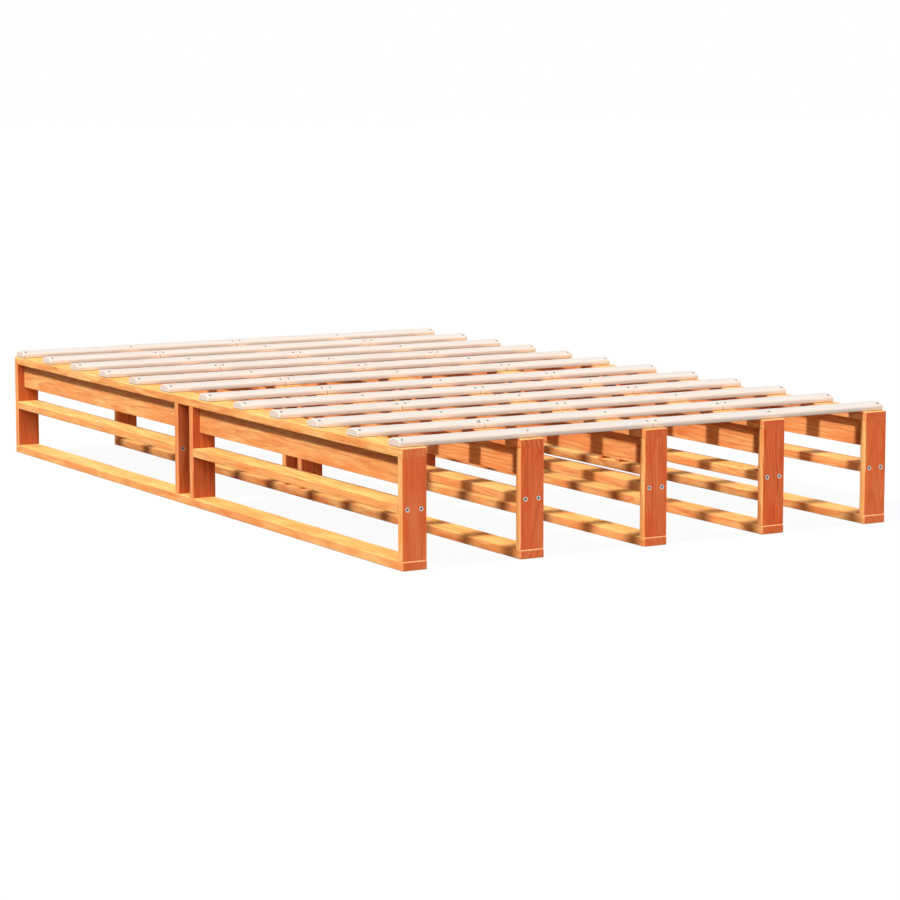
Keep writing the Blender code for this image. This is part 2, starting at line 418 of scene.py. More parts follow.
def mark_wood(piece, axes, length, rng):
    """Writes what the wood materials read. A point has its place in the log. A face has how far it looks up
    or down and how far it looks along the bed, which choose its painted light and shade, how far its edge is
    lightened as wear and painted highlight, how far it is end grain, whether it is a post's that looks at the
    foot end from inside the bed and takes painted shade, and what is the same all over the piece."""
    mesh = piece.data
    *cut_here, turn, knotty = cut_from_log(piece.name, length, rng)
    mark_grain(piece, cut_here)
    inner = is_inner_post(piece.name)
    marks = {"up": [], "endward": [], "rub": [], "end_grain": [], "sheltered": []}
    for face in mesh.polygons:
        world = axes @ face.normal
        # How far the face looks up and along the bed, which choose its colour of painted light and shade
        endward = world.y**2
        marks["up"].append(world.z**2 / max(1 - endward, NEARLY_NONE))
        marks["endward"].append(endward)
        # Edges lightened partly as wear and mostly as a painted highlight where they face up
        marks["rub"].append(wear_and_highlight_of(face.normal, axes))
        marks["end_grain"].append(face.normal.x**2)
        # Painted shade on a post's faces that look at the foot end from inside the bed
        marks["sheltered"].append(float(inner and world.y < -FLAT_NORMAL))
    all_over = {
        "piece_shade": CHOSEN_SHADES.get(piece.name, rng.uniform(*shade_range(piece.name))),
        "figure": CHOSEN_FIGURES.get(piece.name, rng.uniform(*FIGURE_RANGE)),
        "knot_turn": turn,
        "knotty": knotty,
    }
    for name, value in all_over.items():
        marks[name] = [value] * len(mesh.polygons)
    for name, values in marks.items():
        mesh.attributes.new(name, "FLOAT", "FACE").data.foreach_set("value", values)


# Boards


def board_section(width, thickness, inset, low_inset, radii):
    """Outline of a board across its length, with a radius for each of its four corners."""
    half_width = width / 2 - inset
    outline = []
    for quarter, (right, up) in enumerate(CORNERS):
        half_thickness = thickness / 2 - (inset if up > 0 else low_inset)
        radius = max(radii[quarter] - inset / 2, LEAST_ARRIS_RADIUS)
        centre = (right * (half_width - radius), up * (half_thickness - radius))
        start = math.pi / 2 * quarter
        outline += arc(centre, radius, start, start + math.pi / 2, ARRIS_STEPS)
    return outline


def board_shape(length, width, thickness, end_ease, rng, low_edge):
    """A board along X whose rounded edges are worn unevenly along its length. Low_edge 1 eases the ends'
    lower edges as the upper ones are, and 0 leaves them square."""
    seed = rng.uniform(0, WEAR_SEED_LIMIT)
    rings = []
    for x, inset in stations(length, end_ease, END_EASE_STEPS, BOARD_STATION_PITCH):
        radii = []
        for corner in range(len(CORNERS)):
            worn = noise_at(x / ARRIS_WEAR_PITCH, seed + corner * WEAR_SEED_STEP, seed)
            radii.append(ARRIS_RADIUS * (1 + ARRIS_WEAR_SHARE * worn))
        section = board_section(width, thickness, inset, inset * low_edge, radii)
        rings.append([(x, y, z) for y, z in section])
    return loft(rings)


def finish_wood(piece, axes, place, length, rng, material, node):
    """Marks and shades a wooden piece, and puts it in its place in the frame."""
    mark_wood(piece, axes, length, rng)
    shade(piece.data)
    weigh_normals(piece)
    piece.data.materials.clear()
    piece.data.materials.append(material)
    piece.matrix_world = Matrix.Translation(place) @ axes.to_4x4()
    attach(piece, "root")
    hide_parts(node)


def make_board(name, low, high, axes, end_ease, material, node, holes=None, low_edge=1.0):
    """One board that fills the space from low to high. Holes are cut in its own axes."""
    rng = random.Random(name)
    length, width, thickness = map(abs, axes.transposed() @ (high - low))
    piece = new_object(name, board_shape(length, width, thickness, end_ease, rng, low_edge))
    if holes:
        cut(piece, holes)
    finish_wood(piece, axes, (low + high) / 2, length, rng, material, node)


def post_holes(along, outward):
    """Two screw holes through a post, opened out for their heads on the outward side."""
    shape = bmesh.new()
    face = (BOARD_THICKNESS - POST_SETBACK) / 2
    shank = FRAME_SCREW_SHANK_RADIUS + HOLE_PLAY
    head = FRAME_SCREW_HEAD_RADIUS + HEAD_PLAY
    seat = face - FRAME_SCREW_SINK - (FRAME_SCREW_HEAD_RADIUS - FRAME_SCREW_SHANK_RADIUS)
    rim = seat + head - shank
    profile = ((shank, -face - DRILL_OVERRUN), (shank, seat), (head, rim), (head, face + DRILL_OVERRUN))
    flip = Matrix.Diagonal((1, outward, outward))
    for side in (-1, 1):
        place = (along, side * FRAME_SCREW_SPACING / 2, 0)
        add_turned(shape, profile, HOLE_SIDES, place, flip)
    return shape


def shelf_holes(length):
    """The pilot holes in both ends of a shelf."""
    shape = bmesh.new()
    depth = FRAME_SCREW_LENGTH - BOARD_THICKNESS + DRILL_OVERRUN
    radius = FRAME_SCREW_SHANK_RADIUS + HOLE_PLAY
    for end in (-1, 1):
        turn = Matrix.Rotation(end * math.pi / 2, 3, "Y")
        for side in (-1, 1):
            place = (end * length / 2, side * FRAME_SCREW_SPACING / 2, 0)
            add_turned(shape, ((radius, -depth), (radius, DRILL_OVERRUN)), HOLE_SIDES, place, turn)
    return shape


def make_bay(number, word, material):
    """The shelf and the apron between an end post and a middle post."""
    shelf = f"frame_{number}_{word}_shelf"
    shelf_low, shelf_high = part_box(shelf)
    holes = shelf_holes(shelf_high.y - shelf_low.y)
    name = f"shelf_{number}_{word}"
    make_board(name, shelf_low, shelf_high, LYING, BUTT_END_EASE, material, shelf, holes)
    rail = f"frame_{number}_top_rail"
    rail_low, rail_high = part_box(rail)
    middle_x = FRAME_CENTRES[number - 1]
    low = Vector((middle_x - BOARD_THICKNESS / 2, shelf_low.y, rail_low.z))
    high = Vector((middle_x + BOARD_THICKNESS / 2, shelf_high.y, rail_high.z - BOARD_THICKNESS))
    make_board(f"apron_{number}_{word}", low, high, ON_EDGE, BUTT_END_EASE, material, rail)


def make_post(number, word, kind, outward, material, screw_mesh):
    """A post and its two screws. The face that they go in through looks outward, and is set back."""
    node = f"frame_{number}_{word}_{kind}"
    low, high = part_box(node)
    if outward > 0:
        high.y -= POST_SETBACK
    else:
        low.y += POST_SETBACK
    holes = post_holes(SHELF_HEIGHT - (low.z + high.z) / 2, outward)
    make_board(f"{kind}_{number}_{word}", low, high, STANDING, BUTT_END_EASE, material, node, holes)
    middle_x = FRAME_CENTRES[number - 1]
    face_y = high.y if outward > 0 else low.y
    direction = Vector((0, outward, 0))
    for side, hand in ((-1, "left"), (1, "right")):
        name = f"frame_screw_{number}_{word}_{kind}_{hand}"
        place = Vector((middle_x + side * FRAME_SCREW_SPACING / 2, face_y, SHELF_HEIGHT))
        place.y -= outward * FRAME_SCREW_SINK
        place_screw(name, screw_mesh, place, direction)


def make_frame(number, material, screw_mesh):
    """The ten boards of one frame, and the screws through its posts."""
    bottom = f"frame_{number}_bottom_board"
    low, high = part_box(bottom)
    make_board(f"bottom_board_{number}", low, high, LYING, BOARD_END_EASE, material, bottom)
    rail = f"frame_{number}_top_rail"
    low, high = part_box(rail)
    low.y += POST_SETBACK
    high.y -= POST_SETBACK
    low.z = high.z - BOARD_THICKNESS
    name = f"top_board_{number}"
    make_board(name, low, high, LYING, BOARD_END_EASE, material, rail, low_edge=0.0)
    for end, word in ENDS:
        make_bay(number, word, material)
        for kind, outward in (("post", end), ("mid_post", -end)):
            make_post(number, word, kind, outward, material, screw_mesh)


# Slats


def crown_height(across):
    return SLAT_HEIGHT - CROWN_RADIUS + math.sqrt(CROWN_RADIUS**2 - across**2)


def slat_section(inset):
    """Outline of a slat: a flat underside with rounded feet, upright sides, round shoulders and a crown."""
    half = SLAT_WIDTH / 2 - inset
    crown = CROWN_RADIUS - inset
    crown_centre = SLAT_HEIGHT - CROWN_RADIUS
    shoulder = SLAT_SHOULDER_RADIUS - inset
    shoulder_x = half - shoulder
    shoulder_z = crown_centre + math.sqrt((crown - shoulder) ** 2 - shoulder_x**2)
    meet = math.atan2(shoulder_z - crown_centre, shoulder_x)
    foot = SLAT_FOOT_RADIUS
    right_foot = (half - foot, inset + foot)
    left_foot = (foot - half, inset + foot)
    outline = arc(right_foot, foot, -math.pi / 2, 0, FOOT_STEPS)
    outline += arc((shoulder_x, shoulder_z), shoulder, 0, meet, SHOULDER_STEPS)
    outline += arc((0, crown_centre), crown, meet, math.pi - meet, CROWN_STEPS)[1:-1]
    outline += arc((-shoulder_x, shoulder_z), shoulder, math.pi - meet, math.pi, SHOULDER_STEPS)
    outline += arc(left_foot, foot, math.pi, math.pi * 3 / 2, FOOT_STEPS)
    return outline


def slat_shape(length, eases):
    """A slat along X. Its outer ends are rounded, and ends that meet at a joint are only eased."""
    near = stations(length, eases[0], END_EASE_STEPS, SLAT_STATION_PITCH)
    far = stations(length, eases[1], END_EASE_STEPS, SLAT_STATION_PITCH)
    places = [p for p in near if p[0] < 0] + [p for p in far if p[0] >= 0]
    return loft([[(x, y, z) for y, z in slat_section(inset)] for x, inset in places])


def screw_places(start, end):
    """Where screws go along a slat piece: near its ends, and amid each frame that it crosses."""
    places = []
    for middle_x in FRAME_CENTRES:
        if abs(start - middle_x) < BOARD_WIDTH / 2:
            places.append(start + SLAT_SCREW_END_DISTANCE)
        elif abs(end - middle_x) < BOARD_WIDTH / 2:
            places.append(end - SLAT_SCREW_END_DISTANCE)
        elif start < middle_x < end:
            places.append(middle_x)
    return places


def slat_screw_seat(side):
    """Where a slat screw goes into the crown, and the turn that stands it square to the crown there."""
    across = side * SLAT_SCREW_SPACING / 2
    lean = math.asin(across / CROWN_RADIUS)
    return Vector((0, across, crown_height(across))), Matrix.Rotation(-lean, 3, "X")


def slat_holes(start, end):
    """Screw holes with countersinks, in the slat piece's own axes."""
    shape = bmesh.new()
    shank = SLAT_SCREW_SHANK_RADIUS + HOLE_PLAY
    head = SLAT_SCREW_HEAD_RADIUS + HOLE_PLAY
    rim = -SLAT_SCREW_SINK
    seat = rim - (head - shank)
    profile = ((shank, -SLAT_HEIGHT - DRILL_OVERRUN), (shank, seat), (head, rim), (head, DRILL_OVERRUN))
    for along in screw_places(start, end):
        for side in (-1, 1):
            place, turn = slat_screw_seat(side)
            place.x = along - (start + end) / 2
            add_turned(shape, profile, HOLE_SIDES, place, turn)
    return shape


def make_slat(name, start, end, node, material, screw_mesh):
    """One slat piece from start to end, and its screws."""
    low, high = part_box(node)
    row_y = (low.y + high.y) / 2
    outer = abs(FRAME_CENTRES[0]) + BOARD_WIDTH / 4
    eases = [SLAT_END_EASE if abs(x) > outer else SLAT_JOINT_EASE for x in (start, end)]
    piece = new_object(name, slat_shape(end - start, eases))
    cut(piece, slat_holes(start, end))
    place = Vector(((start + end) / 2, row_y, low.z))
    rng = random.Random(name)
    finish_wood(piece, ACROSS, place, end - start, rng, material, node)
    for count, along in enumerate(screw_places(start, end), 1):
        for side, word in ((-1, "near"), (1, "far")):
            seat, turn = slat_screw_seat(side)
            outward = turn @ Vector((0, 0, 1))
            head = Vector((along, row_y, low.z)) + seat - outward * SLAT_SCREW_SINK
            place_screw(f"screw_{name}_{count}_{word}", screw_mesh, head, outward)


def slat_pieces():
    """Each slat piece as (name, start, end, its node). A row that is one node has three pieces."""
    half_gap = SLAT_JOINT_GAP / 2
    left_joint = FRAME_CENTRES[1]
    right_joint = FRAME_CENTRES[3]
    numbers = {name.split("_")[2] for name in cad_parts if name.startswith("slat_row_")}
    found = []
    for number in sorted(numbers):
        row = f"slat_row_{number}"
        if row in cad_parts:
            low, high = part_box(row)
            found.append((f"slat_{number}_left", low.x, left_joint - half_gap, row))
            found.append((f"slat_{number}_middle", left_joint + half_gap, right_joint - half_gap, row))
            found.append((f"slat_{number}_right", right_joint + half_gap, high.x, row))
        else:
            for side in ("left", "right"):
                node = f"{row}_{side}"
                low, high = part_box(node)
                found.append((f"slat_{number}_{side}", low.x, high.x, node))
    return found


# Screws


def screw_body(head_radius, shank_radius, length):
    """A countersunk screw with its flat head at Z 0 and its point down."""
    shape = bmesh.new()
    cone = head_radius - shank_radius
    rim = cone * HEAD_RIM_SHARE
    point = length - POINT_LENGTH_IN_RADII * shank_radius
    profile = (
        (shank_radius / POINT_TAPER, -length),
        (shank_radius, -point),
        (shank_radius, -cone - rim),
        (head_radius, -rim),
        (head_radius, -rim / 2),
        (head_radius - rim / 2, 0),
    )
    add_turned(shape, profile, SCREW_SIDES)
    return shape


def frame_screw_mesh(material):
    """A frame screw, with a six-sided socket in its head."""
    shape = screw_body(FRAME_SCREW_HEAD_RADIUS, FRAME_SCREW_SHANK_RADIUS, FRAME_SCREW_LENGTH)
    piece = new_object("frame_screw", shape)
    socket = bmesh.new()
    add_turned(socket, ((SOCKET_RADIUS, -SOCKET_DEPTH), (SOCKET_RADIUS, DRILL_OVERRUN)), SOCKET_SIDES)
    cut(piece, socket)
    return keep_mesh(piece, material, SOCKET_RADIUS)


def slat_screw_mesh(material):
    """A slat screw, with a cross in its head that narrows as it goes down."""
    shape = screw_body(SLAT_SCREW_HEAD_RADIUS, SLAT_SCREW_SHANK_RADIUS, SLAT_SCREW_LENGTH)
    piece = new_object("slat_screw", shape)
    half_length = CROSS_ARM_LENGTH / 2
    half_width = CROSS_ARM_WIDTH / 2
    corners = [(x * half_length, y * half_width) for x, y in CORNERS]
    for across in (0, math.pi / 2):
        turn = Matrix.Rotation(across, 3, "Z")
        rings = []
        for height, share in ((-CROSS_DEPTH, CROSS_BOTTOM_SHARE), (0, 1), (DRILL_OVERRUN, 1)):
            rings.append([turn @ Vector((x * share, y, height)) for x, y in corners])
        cut(piece, loft(rings))
    return keep_mesh(piece, material, half_length)


def keep_mesh(piece, material, recess_radius):
    """Keeps a shaped piece's mesh for the screws that share it, with the faces of its recess marked for
    painted shade.
    """
    mesh = piece.data
    marks = []
    for face in mesh.polygons:
        within = face.center.xy.length < recess_radius
        below = face.center.z < -RECESS_MARK_DEPTH
        inner = face.normal.z > 0 or face.normal.xy.dot(face.center.xy) < 0
        marks.append(float(within and below and inner))
    mesh.attributes.new("recess", "FLOAT", "FACE").data.foreach_set("value", marks)
    shade(mesh)
    mesh.materials.clear()
    mesh.materials.append(material)
    bpy.data.objects.remove(piece)
    return mesh


def place_screw(name, mesh, place, outward):
    """A screw with its head at a place, facing outward and turned at random about its own axis."""
    rng = random.Random(name)
    made = bpy.data.objects.new(name, mesh)
    bpy.context.scene.collection.objects.link(made)
    spin = Matrix.Rotation(rng.uniform(0, 2 * math.pi), 4, "Z")
    facing = outward.to_track_quat("Z", "Y").to_matrix().to_4x4()
    made.matrix_world = Matrix.Translation(place) @ facing @ spin
    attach(made, "root")


# Material nodes


def add(tree, kind, inputs=(), **settings):
    """Adds a node. Each input is a value or another node's output."""
    made = tree.nodes.new(kind)
    for key, value in settings.items():
        setattr(made, key, value)
    for key, value in dict(inputs).items():
        if isinstance(value, bpy.types.NodeSocket):
            tree.links.new(value, made.inputs[key])
        else:
            made.inputs[key].default_value = value
    return made


def math_node(tree, operation, *values, clamp=False):
    made = add(tree, "ShaderNodeMath", dict(enumerate(values)), operation=operation, use_clamp=clamp)
    return made.outputs[0]


def times(tree, first, second):
    return math_node(tree, "MULTIPLY", first, second)


def vector_node(tree, operation, *values):
    made = add(tree, "ShaderNodeVectorMath", dict(enumerate(values)), operation=operation)
    return made.outputs["Value" if operation == "LENGTH" else "Vector"]


def mix_colour(tree, share, first, second, blend="MIX"):
    made = add(tree, "ShaderNodeMix", data_type="RGBA", blend_type=blend)
    sockets = {"Factor_Float": share, "A_Color": first, "B_Color": second}
    for socket in made.inputs:
        if socket.identifier in sockets:
            value = sockets[socket.identifier]
            if isinstance(value, bpy.types.NodeSocket):
                tree.links.new(value, socket)
            else:
                socket.default_value = value
    return next(s for s in made.outputs if s.identifier == "Result_Color")


def tinted(tree, share, colour, tint):
    """Multiplies a colour by a tint, by so much of a share."""
    return mix_colour(tree, share, colour, mix_colour(tree, 1.0, colour, (*tint, 1), "MULTIPLY"))


def ramp(tree, value, stops):
    """Maps a value through (place, grey level) stops."""
    made = add(tree, "ShaderNodeValToRGB", {0: value})
    elements = made.color_ramp.elements
    while len(elements) < len(stops):
        elements.new(0)
    for element, (place, level) in zip(elements, stops):
        element.position = place
        element.color = (level, level, level, 1)
    return made.outputs["Color"]


def slope(tree, value, edges, levels):
    """Maps a value from one edge to the other to two grey levels, which hold outside the edges."""
    return ramp(tree, value, tuple(zip(edges, levels)))


def noise_node(tree, vector, scale, detail, roughness=0.5):
    inputs = {"Vector": vector, "Scale": scale, "Detail": detail, "Roughness": roughness}
    return add(tree, "ShaderNodeTexNoise", inputs)


def attribute(tree, name, output="Fac"):
    return add(tree, "ShaderNodeAttribute", attribute_name=name).outputs[output]


def add_bump(tree, shader, height, strength, distance):
    bump = add(tree, "ShaderNodeBump", {"Height": height, "Strength": strength, "Distance": distance})
    tree.links.new(bump.outputs["Normal"], shader.inputs["Normal"])


def new_material(name):
    """A new material with its node tree and its shader."""
    made = bpy.data.materials.new(name)
    made.use_nodes = True
    return made, made.node_tree, made.node_tree.nodes["Principled BSDF"]


# Wood materials

# Noise in the wood: its scale along the board as a share of the scale across, the scale across, its detail
# and its roughness
BEND_NOISE = (0.13, 15, 3, 0.5)
FIBRE_NOISE = (0.016, 1300, 2, 0.6)
STREAK_NOISE = (0.06, 190, 4, 0.6)
BLOTCH_NOISE = (0.22, 42, 3, 0.5)
WEAR_AND_HIGHLIGHT_NOISE = (0.5, 45, 3, 0.5)
MIDDLE_NOISE = (0.5, 0.5, 0.5)

# Between which levels of its noise each kind of mark comes or goes
FADE_EDGES = (0.35, 0.65)
STREAK_EDGES = (0.40, 0.72)
FIBRE_EDGES = (0.25, 0.7)
BLOTCH_EDGES = (0.36, 0.62)
WEAR_AND_HIGHLIGHT_EDGES = (0.3, 0.6)

# How dark the late wood is from one growth ring to the next, and a knot from its rim to its axis
RING_STOPS = ((0, 0.1), (0.30, 0.0), (0.66, 0.4), (0.86, 1.0), (0.95, 0.7), (1, 0.1))
KNOT_STOPS = ((0, 0), (0.18, 1), (0.45, 0.75), (1, 0.6))
LEAST_RING_SHARE = 0.35

# The piece's tint, partly painted shade, is half as strong on faces that look up or down, so the lit tops keep
# their yellow
UPWARD_TINT_LOSS = 0.5
LATE_WOOD_GLOSS = 0.10
FIBRE_ROUGHNESS = 0.12
RING_RELIEF = 0.5
FIBRE_RELIEF = 0.8
WOOD_BUMP_DISTANCE = 0.0004

# Colours by the way that a face lies, which are painted light and shade: the stained wood's tops lighter and
# yellower and its faces towards the foot and head a darker red, and the slats' crowns darker than their sides.
# Then what the marks do to the colours, and how strong each mark is
STAINED = {
    "side": (0.92, 0.59, 0.222),
    "flat": (0.95, 0.74, 0.248),
    "front": (0.875, 0.27, 0.10),
    "late_tint": (0.78, 0.42, 0.31),
    "blotch_tint": (0.96, 0.68, 0.56),
    "piece_tint": (0.92, 0.745, 0.75),
    "end_grain_tint": (0.97, 1.05, 1.05),
    "painted_shade_tint": (0.64, 0.80, 0.74),
    "knot": (0.60, 0.08, 0.016),
    "edge_wear_and_highlight": (1.0, 0.62, 0.32),
    "ring_spacing": 0.0068,
    "ring_share": 0.9,
    "streak_share": 0.8,
    "fibre_share": 0.25,
    "blotch_share": 0.9,
    "wear_and_highlight_low": 0.35,
    "wear_and_highlight_high": 1.0,
    "knot_radius": 0.006,
    "roughness": 0.55,
    "bump": 0.3,
    "specular": 0.1,
}
# The slats' crowns are painted darker than their sides and ends, as painted shade against the light from above
PALE = {
    "side": (0.75, 0.68, 0.63),
    "flat": (0.63, 0.615, 0.60),
    "front": (0.75, 0.71, 0.68),
    "late_tint": (0.88, 0.81, 0.76),
    "blotch_tint": (0.97, 0.95, 0.93),
    "piece_tint": (0.985, 0.97, 0.96),
    "end_grain_tint": (0.94, 0.90, 0.87),
    "painted_shade_tint": (1.0, 1.0, 1.0),
    "knot": (0.44, 0.30, 0.22),
    "edge_wear_and_highlight": (0.62, 0.60, 0.57),
    "ring_spacing": 0.0062,
    "ring_share": 0.40,
    "streak_share": 0.35,
    "fibre_share": 0.25,
    "blotch_share": 0.5,
    "wear_and_highlight_low": 0.0,
    "wear_and_highlight_high": 0.2,
    "knot_radius": 0.004,
    "roughness": 0.55,
    "bump": 0.2,
    "specular": 0.2,
}


def wood_noise(tree, grain, settings, output="Fac"):
    """Noise that is drawn out along the board."""
    along_share, scale, detail, roughness = settings
    drawn_out = vector_node(tree, "MULTIPLY", grain, (along_share, 1, 1))
    return noise_node(tree, drawn_out, scale, detail, roughness).outputs[output]


def bend_of(tree, grain):
    """Slow noise that bends the growth rings."""
    bend = vector_node(tree, "SUBTRACT", wood_noise(tree, grain, BEND_NOISE, "Color"), MIDDLE_NOISE)
    return vector_node(tree, "MULTIPLY", bend, (0, RING_BEND, RING_BEND))


def knot_distance(tree, grain):
    """Distance from the nearest knot's axis, and the knot's size as a share of a full one's, or 0 for none."""
    along, across, deep = add(tree, "ShaderNodeSeparateXYZ", {0: grain}).outputs
    whorl = math_node(tree, "ROUND", math_node(tree, "DIVIDE", along, WHORL_PITCH))
    from_whorl = math_node(tree, "SUBTRACT", along, times(tree, whorl, WHORL_PITCH))
    turn = attribute(tree, "knot_turn")
    sine = math_node(tree, "SINE", turn)
    cosine = math_node(tree, "COSINE", turn)
    outward = math_node(tree, "ADD", times(tree, across, cosine), times(tree, deep, sine))
    sideways = math_node(tree, "SUBTRACT", times(tree, deep, cosine), times(tree, across, sine))
    beside = {0: times(tree, from_whorl, KNOT_SQUASH), 1: sideways}
    away = vector_node(tree, "LENGTH", add(tree, "ShaderNodeCombineXYZ", beside).outputs[0])
    grows_here = math_node(tree, "GREATER_THAN", outward, 0.0)
    return away, times(tree, grows_here, attribute(tree, "knotty"))


def growth_rings(tree, grain, away, size, spacing):
    """How dark the late wood is, in rings round the pith that flow round a knot."""
    bent = vector_node(tree, "ADD", grain, bend_of(tree, grain))
    radius = vector_node(tree, "LENGTH", vector_node(tree, "MULTIPLY", bent, (0, 1, 1)))
    reach = math_node(tree, "DIVIDE", away, KNOT_REACH)
    near_knot = math_node(tree, "EXPONENT", times(tree, times(tree, reach, reach), -1.0))
    swell = times(tree, times(tree, near_knot, size), KNOT_SWELL)
    radius = math_node(tree, "ADD", radius, swell)
    phase = math_node(tree, "FRACT", math_node(tree, "DIVIDE", radius, spacing))
    return ramp(tree, phase, RING_STOPS)


def knot_share(tree, away, size, full_radius):
    """How far a point is knot, which is darkest near its rim."""
    radius = math_node(tree, "MULTIPLY_ADD", size, full_radius, LEAST_KNOT_RADIUS)
    inside = math_node(tree, "SUBTRACT", 1.0, math_node(tree, "DIVIDE", away, radius), clamp=True)
    return ramp(tree, inside, KNOT_STOPS)


def colour_with_painted_light(tree, look):
    """Painted light and shade: the colour by the way that a face lies, across the bed, up or down, or towards
    the foot or head.
    """
    colour = mix_colour(tree, attribute(tree, "up"), (*look["side"], 1), (*look["flat"], 1))
    return mix_colour(tree, attribute(tree, "endward"), colour, (*look["front"], 1))


def streaked(tree, colour, grain, fibres, look):
    """Adds streaks and fibres, which run along the board, so its end grain has none."""
    lengthwise = math_node(tree, "SUBTRACT", 1.0, attribute(tree, "end_grain"))
    streaks = wood_noise(tree, grain, STREAK_NOISE)
    streak = slope(tree, streaks, STREAK_EDGES, (0, look["streak_share"]))
    streak = times(tree, streak, attribute(tree, "figure"))
    colour = tinted(tree, times(tree, streak, lengthwise), colour, look["late_tint"])
    fibre = slope(tree, fibres, FIBRE_EDGES, (look["fibre_share"], 0))
    return tinted(tree, times(tree, fibre, lengthwise), colour, look["late_tint"])


def toned(tree, colour, look):
    """Adds the piece's own tint, which is partly its own tone and partly painted shade, half as strong on
    faces that look up or down, then the tint of end grain and painted shade on post faces that look at the
    foot end from inside the bed."""
    # The shade runs from -1 to 1, and the share from 0 to 1
    share = math_node(tree, "MULTIPLY_ADD", attribute(tree, "piece_shade"), 0.5, 0.5)
    kept = math_node(tree, "MULTIPLY_ADD", attribute(tree, "up"), -UPWARD_TINT_LOSS, 1.0)
    colour = tinted(tree, times(tree, share, kept), colour, look["piece_tint"])
    colour = tinted(tree, attribute(tree, "end_grain"), colour, look["end_grain_tint"])
    # Painted shade on the inner posts' faces that look at the foot end
    return tinted(tree, attribute(tree, "sheltered"), colour, look["painted_shade_tint"])


def edge_wear_and_highlight(tree, colour, grain, look):
    """Lightens the rounded edges, here more and there less: partly wear, partly a painted highlight."""
    rub = slope(tree, wood_noise(tree, grain, WEAR_AND_HIGHLIGHT_NOISE), WEAR_AND_HIGHLIGHT_EDGES, (look["wear_and_highlight_low"], look["wear_and_highlight_high"]))
    return mix_colour(tree, times(tree, rub, attribute(tree, "rub")), colour, (*look["edge_wear_and_highlight"], 1))


def wood_material(name, look):
    """Sawn wood as a solid: rings round a pith that runs along the board, fibres, streaks and knots."""
    made, tree, shader = new_material(name)
    grain = attribute(tree, "grain", "Vector")
    away, size = knot_distance(tree, grain)
    rings = growth_rings(tree, grain, away, size, look["ring_spacing"])
    fibres = wood_noise(tree, grain, FIBRE_NOISE)
    blotches = wood_noise(tree, grain, BLOTCH_NOISE)

    faded = times(tree, rings, slope(tree, blotches, FADE_EDGES, (LEAST_RING_SHARE, 1)))
    late = times(tree, times(tree, faded, look["ring_share"]), attribute(tree, "figure"))
    # The colour by the way that a face lies is painted light and shade
    colour = tinted(tree, late, colour_with_painted_light(tree, look), look["late_tint"])
    colour = streaked(tree, colour, grain, fibres, look)
    blotch = slope(tree, blotches, BLOTCH_EDGES, (look["blotch_share"], 0))
    colour = tinted(tree, blotch, colour, look["blotch_tint"])
    colour = toned(tree, colour, look)
    knot = knot_share(tree, away, size, look["knot_radius"])
    colour = mix_colour(tree, knot, colour, (*look["knot"], 1))
    # Edges lightened: partly wear, partly painted highlight
    tree.links.new(edge_wear_and_highlight(tree, colour, grain, look), shader.inputs["Base Color"])

    rough = math_node(tree, "MULTIPLY_ADD", late, -LATE_WOOD_GLOSS, look["roughness"])
    rough = math_node(tree, "MULTIPLY_ADD", fibres, FIBRE_ROUGHNESS, rough)
    tree.links.new(rough, shader.inputs["Roughness"])
    relief = math_node(tree, "MULTIPLY_ADD", rings, RING_RELIEF, times(tree, fibres, FIBRE_RELIEF))
    add_bump(tree, shader, relief, look["bump"], WOOD_BUMP_DISTANCE)
    shader.inputs["Specular IOR Level"].default_value = look["specular"]
    return made


# Steel materials

STEEL_PATCH_SCALE = 420
STEEL_PATCH_DETAIL = 3
STEEL_PATCH_EDGES = (0.35, 0.7)
SCRATCH_SCALE = 1500
SCRATCH_DETAIL = 2
SCRATCH_CROSS_SCALE = 9
SCRATCH_ROUGHNESS = 0.18
SCRATCH_BUMP = 0.2
SCRATCH_BUMP_DISTANCE = 0.0001
# Painted shade: the screws' recesses are coloured near black
RECESS_PAINTED_SHADE = (0.03, 0.025, 0.025, 1)
BRIGHT_STEEL = {"clean": (0.54, 0.52, 0.53, 1), "dull": (0.38, 0.36, 0.37, 1), "roughness": 0.34}
DARK_STEEL = {"clean": (0.16, 0.15, 0.15, 1), "dull": (0.10, 0.09, 0.09, 1), "roughness": 0.5}


def steel_material(name, look):
    """Turned steel with fine scratches, dulled in patches, and painted near black down in its recess as
    painted shade.
    """
    made, tree, shader = new_material(name)
    place = add(tree, "ShaderNodeTexCoord").outputs["Object"]
    patches = noise_node(tree, place, STEEL_PATCH_SCALE, STEEL_PATCH_DETAIL).outputs["Fac"]
    drawn_out = vector_node(tree, "MULTIPLY", place, (1, SCRATCH_CROSS_SCALE, 1))
    scratches = noise_node(tree, drawn_out, SCRATCH_SCALE, SCRATCH_DETAIL).outputs["Fac"]
    dulled = slope(tree, patches, STEEL_PATCH_EDGES, (0, 1))
    colour = mix_colour(tree, dulled, look["clean"], look["dull"])
    # Painted shade down in the recess
    colour = mix_colour(tree, attribute(tree, "recess"), colour, RECESS_PAINTED_SHADE)
    tree.links.new(colour, shader.inputs["Base Color"])
    rough = math_node(tree, "MULTIPLY_ADD", scratches, SCRATCH_ROUGHNESS, look["roughness"])
    tree.links.new(rough, shader.inputs["Roughness"])
    add_bump(tree, shader, scratches, SCRATCH_BUMP, SCRATCH_BUMP_DISTANCE)
    shader.inputs["Metallic"].default_value = 1.0
    return made


# Stage


def ray_share(tree):
    """1 for rays that see the backdrop: from the camera, or off glossy and clear surfaces."""
    path = add(tree, "ShaderNodeLightPath")
    share = math_node(tree, "ADD", path.outputs["Is Camera Ray"], path.outputs["Is Glossy Ray"])
    return math_node(tree, "ADD", share, path.outputs["Is Transmission Ray"], clamp=True)


